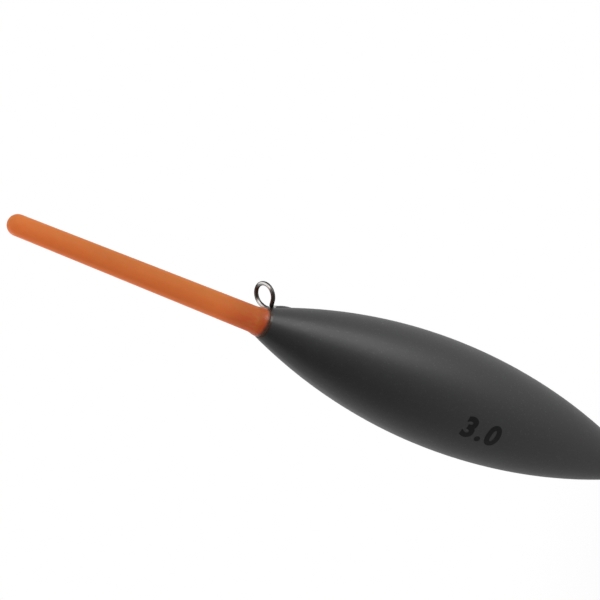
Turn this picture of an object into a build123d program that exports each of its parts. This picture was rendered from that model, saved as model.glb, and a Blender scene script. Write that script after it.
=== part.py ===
from build123d import *
from math import acos, cos, pi, radians, sin, sqrt
import os

# A river float, drawn upright in millimetres. The origin is on its axis, where the bare stem enters
# the lower end of the body. +Z runs up the axis to the antenna, and the line eye stands out along +X.

# Body: two arcs of a circle turned about the axis, fullest a little above the middle
body_diameter = 13.1
nose_arc_radius = 72.0      # from the fullest section up to the rim
tail_arc_radius = 76.0      # from the fullest section down to the tail
rim_diameter = 3.6          # where the antenna enters the body
tail_diameter = 2.6         # where the foam stops and the glue runs on to the stem
lacquer_thickness = 0.18
lip_radius = 0.07
foam_recess = 0.25          # of the foam's upper face below the rim, filled by the lacquer

# Stem: a carbon rod that runs through the whole body and carries the antenna on its upper end
stem_diameter = 1.5
stem_exposed = 80.0
tail_glue_length = 1.6
key_groove_length = 0.9     # a ring filed round the stem, so that the glue keys to it
key_groove_depth = 0.12
feather_edge = 0.04         # thickness of the lacquer where it ends on the stem
tip_seal_height = 0.35

# Antenna: a hollow moulding with draft and a domed end
antenna_rim_diameter = 3.1
antenna_end_diameter = 2.45
antenna_exposed = 33.2
antenna_socket = 3.0        # how deep it sits in the body
antenna_peg = 5.0           # how far the stem stands up inside it, above the rim
bore_base_diameter = 1.60
bore_end_diameter = 1.44
antenna_end_wall = 0.7
bead_height = 1.25
bead_shoulder = 0.65        # height up to which the bead is drawn to the width of the lip
bead_thinning = 0.40        # length over which it is drawn thin up the antenna
bead_feather = 0.03         # thickness to which it is drawn there

# Line eye: one wire, bent to a loop, its legs twisted into a shank that lies beside the antenna
wire_diameter = 0.50
loop_radius = 1.36          # to the middle of the wire
loop_centre_offset = 3.23   # of the loop's centre from the axis
loop_centre_height = 0.49   # above the rim
loop_lean = 56.0            # of the loop's own centre line from the float's axis, in degrees
loop_twist = 10.0           # of the loop about that line, in degrees
loop_half_turn = 130.0      # the true circle, each way from the loop's far end, in degrees
leg_pull_at_loop = 0.85     # how far each leg runs on before it bends to the shank
leg_pull_at_shank = 0.42
shank_depth = 0.80          # of the shank's upper end below the rim
shank_turns = 2.0
shank_pitch = 3.2
strand_gap = 0.02           # between the two twisted strands
seat_clearance = 0.02       # round the shank in its seat
seat_end_room = 0.3         # below the shank

# Resin drop that holds the shank down on the shoulder
drop_half_length = 2.0
drop_half_width = 0.80
drop_half_height = 0.70
drop_depth = 3.0            # of its middle below the rim
drop_offset = 2.25          # of its middle from the axis
drop_tilt = 5.0

# Worked out from the dimensions above
body_radius = body_diameter / 2
stem_radius = stem_diameter / 2
wire_radius = wire_diameter / 2


def arc_length_along_axis(arc_radius, end_radius):
    """Distance along the axis over which an arc falls from the full radius to end_radius."""
    drop = body_radius - end_radius
    return sqrt(2 * arc_radius * drop - drop**2)


foam_bottom = tail_glue_length
fullest = foam_bottom + arc_length_along_axis(tail_arc_radius, tail_diameter / 2)
rim = fullest + arc_length_along_axis(nose_arc_radius, rim_diameter / 2)
foam_top = rim - foam_recess
antenna_bottom = rim - antenna_socket
dome_start = rim + antenna_exposed - antenna_end_diameter / 2
draft = (antenna_rim_diameter - antenna_end_diameter) / 2 / (dome_start - rim)
strand_offset = wire_radius + strand_gap / 2
shank_envelope = strand_offset + wire_radius
shank_top = rim - shank_depth
shank_length = shank_turns * shank_pitch


def body_surface(z, inset=0.0):
    """Radius at height z of the body's outer surface, or of a surface inset below it."""
    arc_radius = nose_arc_radius if z > fullest else tail_arc_radius
    return body_radius - arc_radius + sqrt((arc_radius - inset) ** 2 - (z - fullest) ** 2)


def antenna_surface(z):
    """Outer radius of the antenna at height z, below its dome."""
    return antenna_rim_diameter / 2 - draft * (z - rim)


shank_axis = antenna_surface(antenna_bottom) + shank_envelope + seat_clearance


def turned(*edges):
    """Solid turned about Z from a closed outline drawn as (radius, height)."""
    return revolve(Plane.XZ * make_face(edges), Axis.Z)


def outline(*points):
    """The straight edges that join points in turn."""
    return [Line(a, b) for a, b in zip(points, points[1:])]


def spindle(bottom, top, inset):
    """The body's form between two heights, inset below the outer surface, solid to the axis."""
    low, wide, high = ((body_surface(z, inset), z) for z in (bottom, fullest, top))
    below, above = ((body_surface(z, inset), z) for z in ((bottom + fullest) / 2, (fullest + top) / 2))
    return turned(
        ThreePointArc(low, below, wide),
        ThreePointArc(wide, above, high),
        *outline(high, (0, top), (0, bottom), low),
    )


def rod(radius, bottom, top):
    """Cylinder on the axis between two heights."""
    return Pos(0, 0, bottom) * extrude(Circle(radius), top - bottom)


def shank_seat():
    """The drilled seat that the twisted shank of the eye is glued into."""
    depth = shank_length + seat_end_room
    return Pos(shank_axis, 0, shank_top - depth) * extrude(Circle(shank_envelope + seat_clearance), depth)


def antenna_form():
    """The antenna's outer form, solid to the axis."""
    end_radius = antenna_end_diameter / 2
    crown = dome_start + end_radius
    shoulder = (end_radius * cos(pi / 4), dome_start + end_radius * sin(pi / 4))
    return turned(
        *outline((0, crown), (0, antenna_bottom), (antenna_surface(antenna_bottom), antenna_bottom),
                 (end_radius, dome_start)),
        ThreePointArc((end_radius, dome_start), shoulder, (0, crown)),
    )


def make_antenna():
    """Hollow antenna: the bore narrows with the draft and ends in a dome of its own."""
    base, end = bore_base_diameter / 2, bore_end_diameter / 2
    crown = dome_start + antenna_end_diameter / 2 - antenna_end_wall
    shoulder = (end * cos(pi / 4), crown - end + end * sin(pi / 4))
    bore = turned(
        *outline((0, crown), (0, antenna_bottom), (base, antenna_bottom), (end, crown - end)),
        ThreePointArc((end, crown - end), shoulder, (0, crown)),
    )
    return antenna_form() - bore


def make_stem():
    """Carbon rod with the keying ring filed where the body's tail is glued to it."""
    start, end = (stem_radius, 0), (stem_radius, key_groove_length)
    floor = (stem_radius - key_groove_depth, key_groove_length / 2)
    groove = turned(ThreePointArc(start, floor, end), Line(end, start))
    return rod(stem_radius, -stem_exposed, rim + antenna_peg) - groove


def make_stem_tip_seal():
    """Drop of clear lacquer, a slice of a ball, that seals the cut fibres at the stem's lower end."""
    ball_radius = (stem_radius**2 + tip_seal_height**2) / (2 * tip_seal_height)
    ball = Pos(0, 0, ball_radius - stem_exposed - tip_seal_height) * Sphere(ball_radius)
    return ball & rod(stem_radius, -stem_exposed - 2 * tip_seal_height, -stem_exposed)


def make_body_core():
    """Turned foam spindle, bored for the stem, counterbored for the antenna and drilled for the eye."""
    blank = spindle(foam_bottom, foam_top, lacquer_thickness)
    return blank - rod(stem_radius, 0, rim) - antenna_form() - shank_seat() - make_line_eye()


def make_tail_glue():
    """Cone of glue between the foam and the stem, keyed into the stem's ring."""
    low = stem_radius + feather_edge / 2
    high = body_surface(foam_bottom, lacquer_thickness)
    cone = turned(*outline((0, 0), (low, 0), (high, foam_bottom), (0, foam_bottom), (0, 0)))
    return cone - make_stem()


def make_body_lacquer():
    """The coat of lacquer, from the lip at the antenna to its feather edge on the stem."""
    tail = (tail_diameter / 2, foam_bottom)
    slope = Vector(-sin(tail_angle()), -cos(tail_angle()))
    mid_tail, mid_nose = (foam_bottom + fullest) / 2, (fullest + rim) / 2
    feather = (stem_radius + feather_edge, 0)
    coat = turned(
        TangentArc(tail, feather, tangent=slope),
        *outline(feather, (0, 0), (0, rim), (rim_diameter / 2, rim)),
        ThreePointArc((rim_diameter / 2, rim), (body_surface(mid_nose), mid_nose), (body_radius, fullest)),
        ThreePointArc((body_radius, fullest), (body_surface(mid_tail), mid_tail), tail),
    )
    lip = coat.edges().filter_by(GeomType.CIRCLE).sort_by(Axis.Z)[-1]
    coat = fillet(lip, lip_radius)
    under = spindle(foam_bottom, foam_top, lacquer_thickness) + make_tail_glue()
    return coat - under - antenna_form() - rod(stem_radius, -1, rim) - shank_seat() - make_line_eye()


def tail_angle():
    """Angle between the axis and the body's surface at its tail."""
    return acos((tail_arc_radius - body_radius + tail_diameter / 2) / tail_arc_radius)


def make_joint_bead():
    """Bead of clear glue that stands on the lip of the body and creeps up the antenna."""
    top, edge = rim + bead_height, rim_diameter / 2 - lip_radius
    start = (antenna_surface(top), top)
    thin = (antenna_surface(top) + bead_feather, top - bead_thinning)
    return turned(
        Bezier(start, thin, (edge, rim + bead_shoulder), (edge, rim)),
        *outline((edge, rim), (antenna_surface(rim), rim), start),
    )


def loop_plane():
    """Plane of the eye's loop: origin at its centre, X out along its centre line, Y across it."""
    lean, twist = radians(loop_lean), radians(loop_twist)
    out, flat = Vector(sin(lean), 0, cos(lean)), Vector(0, 1, 0)
    across = flat * cos(twist) + out.cross(flat) * sin(twist)
    return Plane(origin=(loop_centre_offset, 0, rim + loop_centre_height), x_dir=out, z_dir=out.cross(across))


def leg(ring_end, ring_direction, strand):
    """Smooth bend of the wire from one end of the ring into the top of a twisted strand."""
    top, rise = strand @ 1, strand % 1
    return Bezier(ring_end, ring_end + ring_direction * leg_pull_at_loop, top + rise * leg_pull_at_shank, top)


def eye_centre_line():
    """Centre line of the wire: up one strand, round the loop, and down the other strand."""
    ring = loop_plane() * CenterArc((0, 0), loop_radius, -loop_half_turn, 2 * loop_half_turn)
    shank_foot = Pos(shank_axis, 0, shank_top - shank_length)
    left = shank_foot * Rot(0, 0, 90) * Helix(shank_pitch, shank_length, strand_offset)
    right = shank_foot * Rot(0, 0, -90) * Helix(shank_pitch, shank_length, strand_offset)
    return Wire([left, leg(ring @ 1, ring % 1, left), ring, leg(ring @ 0, -(ring % 0), right), right])


def make_line_eye():
    """The wire swept along its centre line."""
    path = eye_centre_line()
    return sweep(Plane(origin=path @ 0, z_dir=path % 0) * Circle(wire_radius), path=path)


def make_eye_resin():
    """Drop of resin, lacquered over, that holds the shank down and fills the mouth of its seat."""
    blob = scale(Sphere(1), by=(drop_half_height, drop_half_width, drop_half_length))
    blob = Pos(drop_offset, 0, rim - drop_depth) * Rot(0, -drop_tilt, 0) * blob
    on_top = blob - spindle(foam_bottom, rim, 0)
    in_seat = shank_seat() & spindle(rim - drop_depth, rim, 0)
    return on_top + in_seat - make_line_eye()


pieces = {
    "body_core": make_body_core,
    "body_lacquer": make_body_lacquer,
    "stem": make_stem,
    "stem_tip_seal": make_stem_tip_seal,
    "tail_glue": make_tail_glue,
    "antenna": make_antenna,
    "joint_bead": make_joint_bead,
    "line_eye": make_line_eye,
    "eye_resin": make_eye_resin,
}

os.makedirs("parts", exist_ok=True)
for name, make in pieces.items():
    export_step(make(), f"parts/{name}.step")
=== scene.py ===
from math import cos, pi, radians, sin

import bmesh
import bpy
from bpy.props import FloatProperty, FloatVectorProperty, PointerProperty, StringProperty
from bpy.types import Operator, Panel, PropertyGroup
from mathutils import Matrix, Vector
from mathutils.bvhtree import BVHTree


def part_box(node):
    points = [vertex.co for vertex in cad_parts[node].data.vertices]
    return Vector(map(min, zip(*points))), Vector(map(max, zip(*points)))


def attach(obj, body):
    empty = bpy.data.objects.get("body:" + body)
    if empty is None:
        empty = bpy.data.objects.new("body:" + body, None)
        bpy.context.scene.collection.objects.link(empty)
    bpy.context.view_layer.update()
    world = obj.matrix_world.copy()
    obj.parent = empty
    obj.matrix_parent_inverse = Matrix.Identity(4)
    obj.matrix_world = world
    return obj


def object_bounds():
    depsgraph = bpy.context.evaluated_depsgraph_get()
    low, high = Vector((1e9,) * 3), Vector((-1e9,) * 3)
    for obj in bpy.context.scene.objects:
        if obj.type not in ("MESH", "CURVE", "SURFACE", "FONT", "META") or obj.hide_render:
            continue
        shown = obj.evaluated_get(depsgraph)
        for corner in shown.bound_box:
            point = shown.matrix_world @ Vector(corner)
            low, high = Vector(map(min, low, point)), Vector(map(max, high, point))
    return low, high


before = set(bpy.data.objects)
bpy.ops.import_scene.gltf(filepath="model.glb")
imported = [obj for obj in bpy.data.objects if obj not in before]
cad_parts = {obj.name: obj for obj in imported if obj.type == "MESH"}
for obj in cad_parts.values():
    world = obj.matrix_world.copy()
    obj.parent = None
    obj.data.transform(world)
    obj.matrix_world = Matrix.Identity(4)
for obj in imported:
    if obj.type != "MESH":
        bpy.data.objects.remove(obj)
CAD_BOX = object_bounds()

bl_info = {
    "name": "River float",
    "version": (1, 0, 0),
    "blender": (4, 5, 0),
    "location": "3D View > Sidebar > Float",
    "description": "Finishes, printed size and studio for a lacquered river float",
    "category": "Object",
}

MM = 0.001

# Heights on the float's axis, in millimetres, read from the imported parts
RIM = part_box("body_lacquer")[1].z / MM     # of the body, at the antenna
STEM_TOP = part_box("stem")[1].z / MM        # inside the antenna
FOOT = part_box("stem_tip_seal")[0].z / MM   # the float's lowest point
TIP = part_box("antenna")[1].z / MM

# The wire loop: its middle in millimetres, the direction square to its plane, and the direction
# in its plane towards the sides of the loop that take painted shade
LOOP_CENTRE = Vector((3.23, 0.0, RIM + 0.49))
LOOP_AXIS = Vector((-0.550, -0.173, 0.817))
LOOP_ACROSS = Vector((0.332, 0.853, 0.404))

# The printed digits. The first two are in the font's own unit, where a digit is about 0.7 high
STROKE_SPREAD = 0.045    # how far each stroke is widened
OUTLINE_WELD = 1e-4      # vertices this near are one
DIGIT_SPACING = 1.22     # against the font's own spacing
BEND_STEP = 0.20 * MM    # between the cuts that let the flat digits bend
SLIVER = 0.001 * MM      # edges that the cuts leave shorter than this are removed

# The floor and the grey drum
FLOOR_RADIUS = 3.0       # in metres
SHADOW_FADES = 40, 150   # between these distances from the axis, in millimetres
PLAIN_NEAR = 0.45        # share of plain white in the floor where it keeps the shadow
DRUM_LIFT = 0.3 * MM     # of the drum's bottom over the floor


# ---------------------------------------------------------------- node trees written as expressions


class Value:
    """One output of a node. Arithmetic on it adds Math nodes to the same tree."""

    def __init__(self, finish, socket):
        self.finish = finish
        self.socket = socket

    def math(self, operation, first, second):
        operands = {"Value": first, "Value_001": second}
        return self.finish.node("ShaderNodeMath", {"operation": operation}, operands)

    def __add__(self, other):
        return self.math("ADD", self, other)

    def __sub__(self, other):
        return self.math("SUBTRACT", self, other)

    def __rsub__(self, other):
        return self.math("SUBTRACT", other, self)

    def __mul__(self, other):
        return self.math("MULTIPLY", self, other)

    __radd__ = __add__
    __rmul__ = __mul__

    def output(self, name):
        """Another output of the same node."""
        return Value(self.finish, self.socket.node.outputs[name])

    def rise(self, low, high):
        """0 where this is under low, 1 where it is over high, and smooth between."""
        inputs = {"Value": self, "From Min": low, "From Max": high}
        return self.finish.node("ShaderNodeMapRange", {"interpolation_type": "SMOOTHSTEP"}, inputs)


class Finish:
    """The node tree of one material, or of the world."""

    def __init__(self, owner):
        owner.use_nodes = True
        self.tree = owner.node_tree
        self.tree.nodes.clear()

    def node(self, kind, settings=(), inputs=()):
        """Adds a node: its settings first, then a number or a link for each named socket."""
        made = self.tree.nodes.new(kind)
        for name, value in dict(settings).items():
            setattr(made, name, value)
        for name, value in dict(inputs).items():
            socket = next(s for s in made.inputs if s.enabled and name in (s.identifier, s.name))
            if isinstance(value, Value):
                self.tree.links.new(value.socket, socket)
            else:
                socket.default_value = value
        return Value(self, next((s for s in made.outputs if s.enabled), None))

    def vector_math(self, operation, **inputs):
        return self.node("ShaderNodeVectorMath", {"operation": operation}, inputs)

    def place(self, across=1.0, along=1.0):
        """Position on the part in millimetres, squeezed across and along the axis."""
        at = self.node("ShaderNodeTexCoord").output("Object")
        factors = (across / MM, across / MM, along / MM)
        return self.vector_math("MULTIPLY", Vector=at, Vector_001=factors)

    def coordinate(self, axis):
        """One coordinate of the position, in millimetres."""
        return self.node("ShaderNodeSeparateXYZ", (), {"Vector": self.place()}).output(axis)

    def height(self):
        """Height on the float's axis, in millimetres."""
        return self.coordinate("Z")

    def away_from_eye(self):
        """0 on the side of the line eye, which faces the key lamp, and 1 on the other, and smooth
        near the axis. The orange parts place their painted light and shade by it.
        """
        return 1.0 - self.coordinate("X").rise(-1.2, 0.6)

    def dot(self, first, second):
        """Scalar product of two vectors."""
        return self.vector_math("DOT_PRODUCT", Vector=first, Vector_001=second)

    def noise(self, at, scale, detail=2.0, roughness=0.5):
        inputs = {"Vector": at, "Scale": scale, "Detail": detail, "Roughness": roughness}
        return self.node("ShaderNodeTexNoise", (), inputs)

    def cells(self, at, scale):
        """Distance to the middle of the nearest cell. Its output Color is random, one a cell."""
        return self.node("ShaderNodeTexVoronoi", (), {"Vector": at, "Scale": scale})

    def mix(self, factor, first, second):
        """Colour between two colours."""
        inputs = {"Factor": factor, "A": first, "B": second}
        return self.node("ShaderNodeMix", {"data_type": "RGBA"}, inputs)

    def shade(self, colour, factor):
        """A colour made brighter or darker."""
        return self.vector_math("SCALE", Vector=colour[:3], Scale=factor)

    def bump(self, height):
        """Surface normal over a relief whose height is in millimetres."""
        return self.node("ShaderNodeBump", (), {"Height": height, "Distance": MM, "Strength": 1.0})

    def surface(self, **sockets):
        """Principled surface. Underscores in the names stand for spaces."""
        named = {name.replace("_", " "): value for name, value in sockets.items()}
        return self.node("ShaderNodeBsdfPrincipled", (), named)

    def mix_shaders(self, factor, first, second):
        inputs = {"Fac": factor, "Shader": first, "Shader_001": second}
        return self.node("ShaderNodeMixShader", (), inputs)

    def seen_as_background(self):
        """1 for rays from the camera, in a reflection or through glass, 0 for diffuse light."""
        path = self.node("ShaderNodeLightPath")
        seen = path.output("Is Camera Ray") + path.output("Is Glossy Ray")
        return (seen + path.output("Is Transmission Ray")).rise(0.0, 1.0)

    def finish_with(self, shader, kind="ShaderNodeOutputMaterial"):
        self.node(kind, (), {"Surface": shader})


def opaque(colour):
    """A colour property as the four numbers that a colour socket takes."""
    return (*colour[:3], 1.0)


def new_material(name):
    material = bpy.data.materials.new(name)
    return material, Finish(material)


def coat(node_names, material):
    """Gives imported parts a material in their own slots."""
    for name in node_names:
        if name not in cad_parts:
            raise RuntimeError(f"the packed model has no part named {name}")
        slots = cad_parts[name].material_slots
        if not slots:
            raise RuntimeError(f"{name} has no material slot")
        for slot in slots:
            slot.link = "OBJECT"
            slot.material = material


# ---------------------------------------------------------------- what a user may change


class LacquerSettings(PropertyGroup):
    colour: FloatVectorProperty(
        name="Colour", description="Colour of the lacquer",
        subtype="COLOR", size=3, min=0, max=1, default=(0.0118, 0.0118, 0.0121),
    )
    # Brown band at the rim: thin lacquer at a dark joint, with painted shade of the gap and a
    # painted orange reflection of the antenna
    lip_colour: FloatVectorProperty(
        name="Lip colour", description="Thin lacquer over glue, where the coat ends at the antenna",
        subtype="COLOR", size=3, min=0, max=1, default=(0.036, 0.013, 0.004),
    )
    roughness: FloatProperty(
        name="Roughness", description="From mirror to matt",
        subtype="FACTOR", min=0, max=1, default=0.445,
    )
    specular: FloatProperty(
        name="Specular", description="Strength of the reflection, 0.5 for glass",
        subtype="FACTOR", min=0, max=1, default=0.73,
    )
    drop_colour: FloatVectorProperty(
        name="Drop colour", description="Colour of the coat on the resin drop",
        subtype="COLOR", size=3, min=0, max=1, default=(0.011, 0.011, 0.013),
    )
    drop_roughness: FloatProperty(
        name="Drop roughness", description="Roughness of the coat on the resin drop",
        subtype="FACTOR", min=0, max=1, default=0.17,
    )
    peel: FloatProperty(
        name="Orange peel", description="Height of the waves that the spray leaves, in millimetres",
        min=0, max=0.1, precision=4, default=0.006,
    )
    flakes: FloatProperty(
        name="Flakes", description="Share of the surface that holds a fine metal flake",
        subtype="FACTOR", min=0, max=1, default=0.08,
    )


class AntennaSettings(PropertyGroup):
    colour: FloatVectorProperty(
        name="Colour", description="Colour of the moulding",
        subtype="COLOR", size=3, min=0, max=1, default=(0.397, 0.0936, 0.0185),
    )
    # Painted light: a yellower colour for the side of the moulding that faces the key lamp, the
    # side of the line eye
    lit_side_colour: FloatVectorProperty(
        name="Bleached colour", description="Colour of the moulding on the side of the line eye",
        subtype="COLOR", size=3, min=0, max=1, default=(0.342, 0.0972, 0.0175),
    )
    # Painted shade: the dark stem inside the translucent moulding darkens it, and this colour
    # paints that shade
    shaded_colour: FloatVectorProperty(
        name="Colour over the stem", description="Colour where the dark stem stands inside",
        subtype="COLOR", size=3, min=0, max=1, default=(0.282, 0.067, 0.0122),
    )
    # Redder patches within the painted stem shade: random, and gathered as painted shade on the
    # side away from the key lamp
    flushed_colour: FloatVectorProperty(
        name="Flushed colour", description="Redder patches where the dark stem stands inside",
        subtype="COLOR", size=3, min=0, max=1, default=(0.300, 0.046, 0.0110),
    )
    glue_colour: FloatVectorProperty(
        name="Glue", description="Colour of the bead over the orange antenna",
        subtype="COLOR", size=3, min=0, max=1, default=(0.208, 0.036, 0.0065),
    )
    # A dark joint, partly painted: the shade in the gap and the antenna's orange reflection are
    # painted into this colour
    joint_colour: FloatVectorProperty(
        name="Glue at the foot", description="Colour of the bead where it meets the lacquer",
        subtype="COLOR", size=3, min=0, max=1, default=(0.034, 0.010, 0.003),
    )
    roughness: FloatProperty(
        name="Roughness", description="From mirror to matt",
        subtype="FACTOR", min=0, max=1, default=0.52,
    )
    specular: FloatProperty(
        name="Specular", description="Strength of the reflection, 0.5 for glass",
        subtype="FACTOR", min=0, max=1, default=0.18,
    )
    # Emission in the moulding's own colour: partly the dye's fluorescence, mostly a painted glow
    # that lightens its dark side
    painted_glow: FloatProperty(
        name="Glow", description="Light that the fluorescent dye gives back",
        min=0, max=3, default=0.5,
    )


class MetalAndCarbonSettings(PropertyGroup):
    wire_colour: FloatVectorProperty(
        name="Wire", description="Colour of the steel wire",
        subtype="COLOR", size=3, min=0, max=1, default=(0.74, 0.72, 0.70),
    )
    # Painted shade: the dark colour that draws the wire's outlines along the loop's rims and on its
    # sides
    painted_shade_colour: FloatVectorProperty(
        name="Stain", description="Colour of the film left on the wire",
        subtype="COLOR", size=3, min=0, max=1, default=(0.085, 0.080, 0.076),
    )
    carbon_colour: FloatVectorProperty(
        name="Carbon", description="Colour of the stem",
        subtype="COLOR", size=3, min=0, max=1, default=(0.016, 0.016, 0.017),
    )
    fibre_colour: FloatVectorProperty(
        name="Fibres", description="Colour of the fibres that catch the light",
        subtype="COLOR", size=3, min=0, max=1, default=(0.055, 0.055, 0.058),
    )


class CoreSettings(PropertyGroup):
    foam_colour: FloatVectorProperty(
        name="Foam", description="Colour of the turned foam",
        subtype="COLOR", size=3, min=0, max=1, default=(0.62, 0.56, 0.46),
    )
    glue_colour: FloatVectorProperty(
        name="Glue", description="Colour of the clear glue and of the seal",
        subtype="COLOR", size=3, min=0, max=1, default=(0.86, 0.80, 0.66),
    )


class PrintSettings(PropertyGroup):
    text: StringProperty(name="Number", description="Size printed on the body", default="3.0")
    digit_height: FloatProperty(
        name="Digit height", description="Height of the digits",
        unit="LENGTH", min=0.0005, default=2.85 * MM,
    )
    from_rim: FloatProperty(
        name="From the rim", description="From the body's rim to the first digit",
        unit="LENGTH", min=0.0, default=26.2 * MM,
    )
    bearing: FloatProperty(
        name="Bearing", description="Direction of the print from the axis, turned from +X",
        subtype="ANGLE", default=radians(-130.5),
    )
    film: FloatProperty(
        name="Film", description="Thickness of the ink over the lacquer",
        unit="LENGTH", min=0.0, precision=5, default=0.015 * MM,
    )
    ink_colour: FloatVectorProperty(
        name="Ink", description="Colour of the ink",
        subtype="COLOR", size=3, min=0, max=1, default=(0.004, 0.004, 0.004),
    )


class StudioSettings(PropertyGroup):
    floor_colour: FloatVectorProperty(
        name="Floor", description="Colour of the floor",
        subtype="COLOR", size=3, min=0, max=1, default=(0.86, 0.86, 0.86),
    )
    ambient: FloatProperty(
        name="Ambient", description="Light from all round", min=0, max=2, default=0.65,
    )
    key_radiance: FloatProperty(
        name="Key light", description="Brightness of the key lamp", min=0, default=2.2,
    )
    key_bearing: FloatProperty(
        name="Key bearing", description="Where the key lamp stands, turned from +X",
        subtype="ANGLE", default=radians(-59),
    )
    key_distance: FloatProperty(
        name="Key distance", description="From the float's axis to the key lamp",
        unit="LENGTH", min=0.01, default=0.28,
    )
    key_centre: FloatProperty(
        name="Key height", description="Height of the key lamp's middle",
        unit="LENGTH", default=0.22,
    )
    key_width: FloatProperty(
        name="Key width", description="Width of the key lamp",
        unit="LENGTH", min=0.01, default=0.196,
    )
    key_tall: FloatProperty(
        name="Key tall", description="Height of the key lamp from edge to edge",
        unit="LENGTH", min=0.01, default=0.53,
    )
    fill_radiance: FloatProperty(
        name="Fill light", description="Brightness of the fill lamp, which stands opposite the key",
        min=0, default=2.75,
    )
    fill_distance: FloatProperty(
        name="Fill distance", description="From the float's axis to the fill lamp",
        unit="LENGTH", min=0.01, default=0.50,
    )
    fill_centre: FloatProperty(
        name="Fill height", description="Height of the fill lamp's middle",
        unit="LENGTH", default=0.10,
    )
    fill_width: FloatProperty(
        name="Fill width", description="Width and height of the fill lamp",
        unit="LENGTH", min=0.01, default=0.40,
    )
    surround_radius: FloatProperty(
        name="Surround", description="Radius of the grey drum round the float",
        unit="LENGTH", min=0.3, default=0.32,
    )
    surround_top: FloatProperty(
        name="Surround top", description="Upper edge of the drum",
        unit="LENGTH", default=0.38,
    )
    surround_bearing: FloatProperty(
        name="Dark bearing", description="Where the drum is darkest, turned from +X",
        subtype="ANGLE", default=radians(-156),
    )
    surround_dark: FloatProperty(
        name="Dark side", description="Brightness of the drum where it is darkest",
        min=0, max=1, default=0.077,
    )
    surround_light: FloatProperty(
        name="Light side", description="Brightness of the drum on the opposite side",
        min=0, max=3, default=0.73,
    )
    surround_low: FloatProperty(
        name="Low glow", description="How much lighter the drum is at its foot",
        min=-1, max=1, default=0.26,
    )
    azimuth: FloatProperty(
        name="Azimuth", description="View direction, 0 along +Y",
        subtype="ANGLE", default=radians(-20),
    )
    elevation: FloatProperty(
        name="Elevation", description="Height of the view above the horizon",
        subtype="ANGLE", default=radians(27),
    )
    roll: FloatProperty(
        name="Roll", description="How far the camera is turned about its own axis",
        subtype="ANGLE", default=radians(67.9),
    )
    distance: FloatProperty(
        name="Distance", description="From the camera to the rim of the body",
        unit="LENGTH", min=0.01, default=340.9 * MM,
    )
    aim: FloatVectorProperty(
        name="Aim", description="Where the camera looks, right of and above the rim in the picture",
        subtype="TRANSLATION", size=2, default=(4.30 * MM, 2.58 * MM),
    )


class FloatSettings(PropertyGroup):
    lacquer: PointerProperty(name="Lacquer", description="The body's coat", type=LacquerSettings)
    antenna: PointerProperty(
        name="Antenna", description="The orange moulding", type=AntennaSettings,
    )
    metal: PointerProperty(
        name="Wire and stem", description="Steel and carbon", type=MetalAndCarbonSettings,
    )
    core: PointerProperty(name="Core", description="Foam and glue", type=CoreSettings)
    print: PointerProperty(name="Print", description="The printed size", type=PrintSettings)
    studio: PointerProperty(
        name="Studio", description="Floor, light and camera", type=StudioSettings,
    )


# ---------------------------------------------------------------- finishes


def lacquer(name, settings, coat_colour, roughness):
    """Satin lacquer: sprayed in waves, with a dust of flakes, and thin and brown at the lip, where
    the brown also paints the gap's shade and the antenna's orange reflection.
    """
    material, finish = new_material(name)
    at = finish.place()
    cloud = finish.noise(at, 0.22, 3.0)
    grain = finish.noise(at, 14.0, 2.0, 0.7)
    cell_colour = finish.cells(at, 9.0).output("Color")
    speck = finish.node("ShaderNodeSeparateColor", (), {"Color": cell_colour})
    flake = speck.rise(1.0 - settings.flakes, 1.0)
    tone = 0.86 + cloud * 0.18 + grain * 0.10 + flake * 1.1
    lip = finish.height().rise(RIM - 0.34, RIM - 0.10)
    # Painted shade and reflection: the brown lip also stands in for the gap's shade and the orange
    # antenna's reflection
    colour = finish.mix(lip, finish.shade(coat_colour, tone), opaque(settings.lip_colour))
    long_waves = finish.noise(at, 0.85, 2.0) * settings.peel
    short_waves = finish.noise(at, 5.0, 2.0) * settings.peel * 0.16
    relief = long_waves + short_waves + grain * 0.0006
    uneven = roughness + (cloud - 0.5) * 0.10 + (grain - 0.5) * 0.06
    finish.finish_with(finish.surface(
        Base_Color=colour,
        Roughness=uneven - flake * 0.10 - lip * 0.27,
        Specular_IOR_Level=settings.specular,
        Normal=finish.bump(relief),
    ))
    return material


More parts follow.
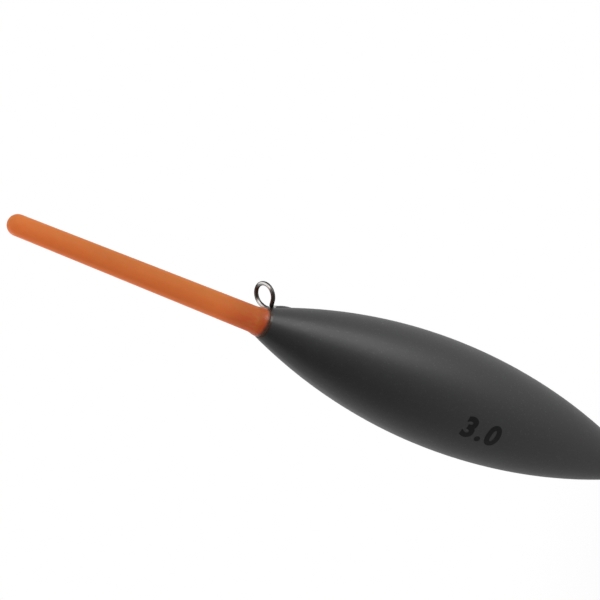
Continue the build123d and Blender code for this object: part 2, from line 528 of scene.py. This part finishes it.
def antenna_plastic(settings):
    """Translucent orange moulding. Painted light makes it yellower towards the line eye, the side
    that faces the key lamp; painted shade of the dark stem inside makes it deeper in colour, with
    redder patches, where the stem stands inside it."""
    material, finish = new_material("antenna_plastic")
    height = finish.height()
    drawn = finish.noise(finish.place(3.0, 0.06), 1.0, 3.0)
    cloud = finish.noise(finish.place(), 0.30, 3.0)
    mottle = finish.noise(finish.place(1.0, 0.4), 2.6, 3.0, 0.6)
    rings = finish.noise(finish.place(0.5, 9.0), 1.0, 2.0)
    rubbed = rings.rise(0.60, 0.70) * mottle.rise(0.45, 0.60)
    # Painted shade of the dark stem seen through the moulding, where the stem stands inside it
    painted_stem_shade = 1.0 - height.rise(STEM_TOP - 2.9, STEM_TOP + 2.0)
    at_tip = height.rise(TIP - 12.0, TIP)
    away = finish.away_from_eye()
    tone = 0.86 + cloud * 0.14 + drawn * 0.06 + mottle * 0.08 + at_tip * 0.12
    # Painted light: towards the line eye, which faces the key lamp, the moulding takes the yellower
    # lit-side colour
    lit_side = finish.shade(settings.lit_side_colour, tone)
    lit = finish.mix(away, lit_side, finish.shade(settings.colour, tone))
    # Random redder patches. The pull towards the side away from the line eye paints shade on the
    # side away from the key lamp
    patches_and_shade = (mottle + away * 0.16).rise(0.50, 0.70)
    shaded = finish.mix(patches_and_shade, opaque(settings.shaded_colour), opaque(settings.flushed_colour))
    colour = finish.mix(painted_stem_shade * (0.80 + cloud * 0.2), lit, shaded)
    relief = drawn * 0.003 + cloud * 0.004 - rubbed * 0.003
    roughness = settings.roughness + (drawn - 0.5) * 0.12 + rubbed * 0.15
    finish.finish_with(translucent_orange(finish, settings, colour, roughness, relief))
    return material


def translucent_orange(finish, settings, colour, roughness, relief, glaze=0.0):
    """Plastic in which the light spreads, with a painted glow in its own colour, so that it is
    almost as bright on its dark side.
    """
    return finish.surface(
        Base_Color=colour,
        Roughness=roughness,
        Specular_IOR_Level=settings.specular,
        Coat_Weight=glaze,
        Coat_Roughness=0.16,
        Subsurface_Weight=0.8,
        Subsurface_Radius=(1.0, 0.35, 0.15),
        Subsurface_Scale=1.5 * MM,
        # Painted glow: the plastic emits its own colour, which brightens its shaded side
        Emission_Color=colour,
        Emission_Strength=settings.painted_glow,
        Normal=finish.bump(relief),
    )


def joint_glue(settings):
    """Thin bead of glue: a film on the antenna, deeper orange below and, as painted shade, on the
    side away from the key lamp, and glossy and brown where it ends on the lacquer: a dark joint,
    with painted shade of the gap and a painted orange reflection in it."""
    material, finish = new_material("joint_glue")
    height = finish.height()
    cloud = finish.noise(finish.place(), 1.3, 2.0)
    thick = 1.0 - height.rise(RIM + 0.20, RIM + 1.0)
    away = finish.away_from_eye()
    # Dark brown foot of the bead, reaching higher away from the line eye: a dark joint with painted
    # shade of the gap and a painted orange reflection
    foot = 1.0 - (height + cloud * 0.05 - away * 0.16).rise(RIM - 0.02, RIM + 0.44)
    deep = 1.0 - height.rise(RIM + 0.6, RIM + 1.5)
    thin_film, full_bead = opaque(settings.shaded_colour), opaque(settings.glue_colour)
    # Painted shade: the deeper glue colour is stronger on the side away from the key lamp
    orange = finish.mix(deep * (0.6 + away * 0.4), thin_film, full_bead)
    colour = finish.mix(foot, orange, opaque(settings.joint_colour))
    relief = thick * cloud * 0.03
    finish.finish_with(translucent_orange(
        finish, settings, colour, settings.roughness, relief, thick * 0.7,
    ))
    return material


def steel(settings):
    """Drawn wire with fine die lines: bright on the faces of the loop, and with painted shade, in a
    dark colour, along their edges and on its sides, which draws the wire's dark outlines."""
    material, finish = new_material("steel_wire")
    at = finish.place()
    off_plane = finish.dot(at, LOOP_AXIS) - LOOP_CENTRE.dot(LOOP_AXIS)
    off_middle = finish.dot(at, LOOP_ACROSS) - LOOP_CENTRE.dot(LOOP_ACROSS)
    patches = finish.noise(at, 0.9, 3.0)
    # Painted shade: the wire takes the dark colour near the loop's plane, along its rims, and on
    # the loop's sides
    loop_faces = (off_plane * off_plane + (patches - 0.5) * 0.02).rise(0.010, 0.045)
    on_loop = finish.height().rise(RIM - 0.55, RIM - 0.10)
    painted_dark_sides = 0.92 * on_loop * (off_middle * off_middle).rise(0.60, 1.25)
    bright = loop_faces * (1.0 - painted_dark_sides)
    grain = finish.noise(at, 9.0, 3.0, 0.65)
    scratches = finish.noise(finish.place(1.0, 6.0), 4.0, 2.0)
    finish.finish_with(finish.surface(
        Base_Color=finish.mix(bright, opaque(settings.painted_shade_colour), opaque(settings.wire_colour)),
        Metallic=1.0,
        Roughness=0.16 + grain * 0.10 - bright * 0.08,
        Specular_Tint=(0.25, 0.25, 0.25, 1.0),
        Normal=finish.bump(grain * 0.0008 + scratches * 0.0012),
    ))
    return material


def carbon(settings):
    """Ground carbon rod: fibres run along it and catch the light here and there."""
    material, finish = new_material("carbon")
    strands = finish.noise(finish.place(9.0, 0.05), 1.0, 3.0, 0.6)
    fine = finish.noise(finish.place(26.0, 0.30), 1.0, 2.0)
    ground = finish.noise(finish.place(1.0, 7.0), 1.5, 2.0)
    bright = (strands * 0.7 + fine * 0.3).rise(0.50, 0.72)
    rod, fibre = opaque(settings.carbon_colour), opaque(settings.fibre_colour)
    finish.finish_with(finish.surface(
        Base_Color=finish.mix(bright, rod, fibre),
        Roughness=0.30 + ground * 0.14 - bright * 0.05,
        Specular_IOR_Level=0.45,
        Normal=finish.bump(strands * 0.006 + ground * 0.0015),
    ))
    return material


def clear_glue(settings):
    """Hard clear glue with a faint amber tint."""
    material, finish = new_material("clear_glue")
    waves = finish.noise(finish.place(), 1.6, 2.0)
    finish.finish_with(finish.surface(
        Base_Color=finish.shade(settings.glue_colour, 0.92 + waves * 0.12),
        Roughness=0.05 + waves * 0.06,
        Transmission_Weight=0.85,
        IOR=1.50,
        Normal=finish.bump(waves * 0.01),
    ))
    return material


def foam(settings):
    """Hard closed-cell foam, turned and sanded: small open cells on the cut."""
    material, finish = new_material("foam")
    at = finish.place()
    cell = finish.cells(at, 3.2)
    cloud = finish.noise(at, 0.5, 3.0)
    wall = cell.rise(0.10, 0.42)
    finish.finish_with(finish.surface(
        Base_Color=finish.shade(settings.foam_colour, 0.78 + wall * 0.16 + cloud * 0.12),
        Roughness=0.82 + (cloud - 0.5) * 0.12,
        Normal=finish.bump(wall * 0.05),
    ))
    return material


def ink(settings, under):
    """Pad-printed ink, a little worn, so that the lacquer shows through in pinholes."""
    material, finish = new_material("ink")
    at = finish.place()
    pinholes = finish.noise(at, 7.0, 3.0, 0.7).rise(0.62, 0.70)
    finish.finish_with(finish.surface(
        Base_Color=finish.mix(pinholes * 0.6, opaque(settings.ink_colour), opaque(under)),
        Roughness=0.30 + finish.noise(at, 2.5, 2.0) * 0.10,
        Specular_IOR_Level=0.22,
        Normal=finish.bump(pinholes * -0.003),
    ))
    return material


# ---------------------------------------------------------------- printed number


def flat_number(settings):
    """The number as a flat solid: X along the line of digits and Y up, both in metres. Z is 1
    on its upper face and -1 on its lower one."""
    curve = bpy.data.curves.new("number_outline", "FONT")
    curve.body = settings.text
    curve.size = 1.0
    curve.offset = STROKE_SPREAD
    curve.space_character = DIGIT_SPACING
    curve.extrude = 0.5
    shape = bpy.data.objects.new("number_outline", curve)
    bpy.context.scene.collection.objects.link(shape)
    depsgraph = bpy.context.evaluated_depsgraph_get()
    mesh = bpy.data.meshes.new_from_object(shape.evaluated_get(depsgraph))
    bpy.data.objects.remove(shape)
    bpy.data.curves.remove(curve)
    work = bmesh.new()
    work.from_mesh(mesh)
    bpy.data.meshes.remove(mesh)
    bmesh.ops.remove_doubles(work, verts=work.verts, dist=OUTLINE_WELD)
    tall = max(v.co.y for v in work.verts) - min(v.co.y for v in work.verts)
    low = Vector((min(v.co.x for v in work.verts), min(v.co.y for v in work.verts), 0))
    for vertex in work.verts:
        vertex.co = (vertex.co - low) * settings.digit_height / tall
        vertex.co.z = 1.0 if vertex.co.z > 0 else -1.0
    bmesh.ops.recalc_face_normals(work, faces=work.faces)
    return work


def cut_in_steps(work, axis, step):
    """Cuts a mesh by evenly spaced planes square to an axis, so that it can bend."""
    normal = Vector((0, 0, 0))
    normal[axis] = 1
    low, high = (f(v.co[axis] for v in work.verts) for f in (min, max))
    for k in range(1, int((high - low) / step) + 1):
        bmesh.ops.bisect_plane(
            work, geom=[*work.verts, *work.edges, *work.faces],
            plane_co=normal * (low + k * step), plane_no=normal,
        )


def wrap_on_body(work, settings):
    """Lays the flat number on the lacquer: X runs down the body and Y round it."""
    depsgraph = bpy.context.evaluated_depsgraph_get()
    body = BVHTree.FromObject(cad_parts["body_lacquer"], depsgraph)
    start = RIM * MM - settings.from_rim
    middle = settings.digit_height / 2
    girth_radius = surface_point(body, settings.bearing, start)[0].xy.length
    for vertex in work.verts:
        bearing = settings.bearing + (vertex.co.y - middle) / girth_radius
        hit, normal = surface_point(body, bearing, start - vertex.co.x)
        vertex.co = hit + normal * settings.film * vertex.co.z


def surface_point(body, bearing, height):
    """The point on the body's outside at a height, in one direction, and the normal there."""
    out = Vector((cos(bearing), sin(bearing), 0))
    reach = 2 * CAD_BOX[1].x
    hit, normal = body.ray_cast(out * reach + Vector((0, 0, height)), -out)[:2]
    if hit is None:
        raise RuntimeError("the printed number runs off the body")
    return hit, normal


# ---------------------------------------------------------------- studio


def make_floor(settings):
    """Pale floor that keeps the shadow near the float and is plain white far away."""
    mesh = bpy.data.meshes.new("floor")
    work = bmesh.new()
    bmesh.ops.create_circle(work, cap_ends=True, segments=96, radius=FLOOR_RADIUS)
    work.to_mesh(mesh)
    work.free()
    floor = bpy.data.objects.new("floor", mesh)
    floor.location.z = FOOT * MM
    bpy.context.scene.collection.objects.link(floor)
    material, finish = new_material("floor")
    seen = finish.seen_as_background()
    distance = finish.vector_math("LENGTH", Vector=finish.place())
    plain = seen * (PLAIN_NEAR + (1 - PLAIN_NEAR) * distance.rise(*SHADOW_FADES))
    matt = finish.node("ShaderNodeBsdfDiffuse", (), {"Color": opaque(settings.floor_colour)})
    white = finish.node("ShaderNodeEmission", (), {"Color": (1, 1, 1, 1)})
    finish.finish_with(finish.mix_shaders(plain, matt, white))
    mesh.materials.append(material)


def make_world(settings):
    """White all round where it is seen, and softer where it only lights the float."""
    world = bpy.data.worlds.new("studio")
    bpy.context.scene.world = world
    finish = Finish(world)
    ambient, white = (
        finish.node("ShaderNodeBackground", (), {"Color": (1, 1, 1, 1), "Strength": strength})
        for strength in (settings.ambient, 1.0)
    )
    sky = finish.mix_shaders(finish.seen_as_background(), ambient, white)
    finish.finish_with(sky, "ShaderNodeOutputWorld")


def make_lamp(name, bearing, centre, distance, size, radiance):
    """Upright softbox that faces the axis. Radiance 1 is as bright as white."""
    light = bpy.data.lights.new(name, "AREA")
    light.shape = "RECTANGLE"
    light.size, light.size_y = size
    light.energy = radiance * pi * size[0] * size[1]
    lamp = bpy.data.objects.new(name, light)
    out = Vector((cos(bearing), sin(bearing), 0))
    lamp.location = out * distance + Vector((0, 0, centre))
    lamp.rotation_mode = "QUATERNION"
    lamp.rotation_quaternion = out.to_track_quat("Z", "Y")
    lamp.visible_camera = False
    bpy.context.scene.collection.objects.link(lamp)


def make_surround(settings):
    """Grey drum round the float, open above and seen only in gloss: it shades the round forms."""
    radius, bottom = settings.surround_radius, FOOT * MM + DRUM_LIFT
    work = bmesh.new()
    bmesh.ops.create_circle(
        work, cap_ends=True, segments=64, radius=radius, matrix=Matrix.Translation((0, 0, bottom)),
    )
    wall = bmesh.ops.extrude_edge_only(work, edges=work.edges[:])["geom"]
    for vertex in (v for v in wall if isinstance(v, bmesh.types.BMVert)):
        vertex.co.z = settings.surround_top
    mesh = bpy.data.meshes.new("surround")
    work.to_mesh(mesh)
    work.free()
    surround = bpy.data.objects.new("surround", mesh)
    bpy.context.scene.collection.objects.link(surround)
    for kind in ("camera", "diffuse", "transmission", "volume_scatter", "shadow"):
        setattr(surround, f"visible_{kind}", False)
    material, finish = new_material("surround")
    toward_dark = Vector((cos(settings.surround_bearing), sin(settings.surround_bearing), 0))
    side = 0.5 - 0.5 * finish.dot(finish.place(), toward_dark * MM / radius)
    low = 1.0 - finish.height().rise(FOOT, RIM)
    dark, light = (
        finish.node("ShaderNodeEmission", (), {"Color": (1, 1, 1, 1), "Strength": brightness})
        for brightness in (settings.surround_dark, settings.surround_light)
    )
    share = side + low * settings.surround_low
    finish.finish_with(finish.mix_shaders(share, dark, light))
    mesh.materials.append(material)


def make_camera(settings):
    """Long lens on the joint between antenna and body, rolled so that the float lies aslant."""
    azimuth, elevation = settings.azimuth, settings.elevation
    back = Vector((sin(azimuth) * cos(elevation), -cos(azimuth) * cos(elevation), sin(elevation)))
    level = Vector((cos(azimuth), sin(azimuth), 0))
    upward = back.cross(level)
    right = level * cos(settings.roll) - upward * sin(settings.roll)
    up = level * sin(settings.roll) + upward * cos(settings.roll)
    rim = Vector((0, 0, RIM * MM))
    place = rim + right * settings.aim[0] + up * settings.aim[1] + back * settings.distance
    turn = Matrix((right, up, back)).transposed().to_4x4()
    data = bpy.data.cameras.new("camera")
    data.lens = 180
    data.sensor_width = 36
    data.clip_start = 0.01
    camera = bpy.data.objects.new("camera", data)
    camera.matrix_world = Matrix.Translation(place) @ turn
    bpy.context.scene.collection.objects.link(camera)
    bpy.context.scene.camera = camera


# ---------------------------------------------------------------- operators


class RIVERFLOAT_OT_lacquer_body(Operator):
    """Lacquers the body and the resin drop over the eye's shank"""

    bl_idname = "river_float.lacquer_body"
    bl_label = "Lacquer the body"

    def execute(self, context):
        settings = context.scene.river_float.lacquer
        body = lacquer("body_lacquer", settings, settings.colour, settings.roughness)
        drop = lacquer("drop_lacquer", settings, settings.drop_colour, settings.drop_roughness)
        coat(["body_lacquer"], body)
        coat(["eye_resin"], drop)
        return {"FINISHED"}


class RIVERFLOAT_OT_finish_antenna(Operator):
    """Gives the antenna its orange plastic and the bead at its foot its glue"""

    bl_idname = "river_float.finish_antenna"
    bl_label = "Finish the antenna"

    def execute(self, context):
        settings = context.scene.river_float.antenna
        coat(["antenna"], antenna_plastic(settings))
        coat(["joint_bead"], joint_glue(settings))
        return {"FINISHED"}


class RIVERFLOAT_OT_finish_line_eye(Operator):
    """Gives the line eye its bright steel"""

    bl_idname = "river_float.finish_line_eye"
    bl_label = "Finish the line eye"

    def execute(self, context):
        coat(["line_eye"], steel(context.scene.river_float.metal))
        return {"FINISHED"}


class RIVERFLOAT_OT_finish_stem(Operator):
    """Gives the stem its carbon fibres"""

    bl_idname = "river_float.finish_stem"
    bl_label = "Finish the stem"

    def execute(self, context):
        coat(["stem"], carbon(context.scene.river_float.metal))
        return {"FINISHED"}


class RIVERFLOAT_OT_finish_core(Operator):
    """Finishes the foam, and the clear glue at the tail and at the stem's tip"""

    bl_idname = "river_float.finish_core"
    bl_label = "Finish the core and the glue"

    def execute(self, context):
        settings = context.scene.river_float.core
        coat(["body_core"], foam(settings))
        coat(["tail_glue", "stem_tip_seal"], clear_glue(settings))
        return {"FINISHED"}


class RIVERFLOAT_OT_print_number(Operator):
    """Prints the plain size number on the side of the body"""

    bl_idname = "river_float.print_number"
    bl_label = "Print the number"

    def execute(self, context):
        settings = context.scene.river_float.print
        work = flat_number(settings)
        for axis in (0, 1):
            cut_in_steps(work, axis, BEND_STEP)
        bmesh.ops.dissolve_degenerate(work, dist=SLIVER, edges=work.edges)
        bmesh.ops.triangulate(work, faces=work.faces)
        wrap_on_body(work, settings)
        mesh = bpy.data.meshes.new("printed_number")
        work.to_mesh(mesh)
        work.free()
        number = bpy.data.objects.new("printed_number", mesh)
        context.scene.collection.objects.link(number)
        mesh.materials.append(ink(settings, context.scene.river_float.lacquer.colour))
        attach(number, "root")
        return {"FINISHED"}


class RIVERFLOAT_OT_build_studio(Operator):
    """Builds the floor, the soft light and the camera"""

    bl_idname = "river_float.build_studio"
    bl_label = "Build the studio"

    def execute(self, context):
        settings = context.scene.river_float.studio
        context.scene.view_settings.view_transform = "Standard"
        make_world(settings)
        make_floor(settings)
        make_lamp(
            "key", settings.key_bearing, settings.key_centre, settings.key_distance,
            (settings.key_width, settings.key_tall), settings.key_radiance,
        )
        make_lamp(
            "fill", settings.key_bearing + pi, settings.fill_centre, settings.fill_distance,
            (settings.fill_width, settings.fill_width), settings.fill_radiance,
        )
        make_surround(settings)
        make_camera(settings)
        return {"FINISHED"}


STEPS = (
    RIVERFLOAT_OT_lacquer_body,
    RIVERFLOAT_OT_finish_antenna,
    RIVERFLOAT_OT_finish_line_eye,
    RIVERFLOAT_OT_finish_stem,
    RIVERFLOAT_OT_finish_core,
    RIVERFLOAT_OT_print_number,
    RIVERFLOAT_OT_build_studio,
)


class RIVERFLOAT_PT_panel(Panel):
    """Lists the steps that finish the float, with their settings"""

    bl_idname = "RIVERFLOAT_PT_panel"
    bl_label = "River float"
    bl_space_type = "VIEW_3D"
    bl_region_type = "UI"
    bl_category = "Float"

    def draw(self, context):
        settings = context.scene.river_float
        for group in ("lacquer", "antenna", "metal", "core", "print", "studio"):
            part = getattr(settings, group)
            box = self.layout.box()
            box.label(text=settings.bl_rna.properties[group].name)
            for name in part.__annotations__:
                box.prop(part, name)
        for step in STEPS:
            self.layout.operator(step.bl_idname)


CLASSES = (
    LacquerSettings,
    AntennaSettings,
    MetalAndCarbonSettings,
    CoreSettings,
    PrintSettings,
    StudioSettings,
    FloatSettings,
    *STEPS,
    RIVERFLOAT_PT_panel,
)


def register():
    for one in CLASSES:
        bpy.utils.register_class(one)
    bpy.types.Scene.river_float = PointerProperty(type=FloatSettings)


def unregister():
    del bpy.types.Scene.river_float
    for one in reversed(CLASSES):
        bpy.utils.unregister_class(one)


def main():
    register()
    for step in STEPS:
        group, name = step.bl_idname.split(".")
        getattr(getattr(bpy.ops, group), name)()


if __name__ == "__main__":
    main()
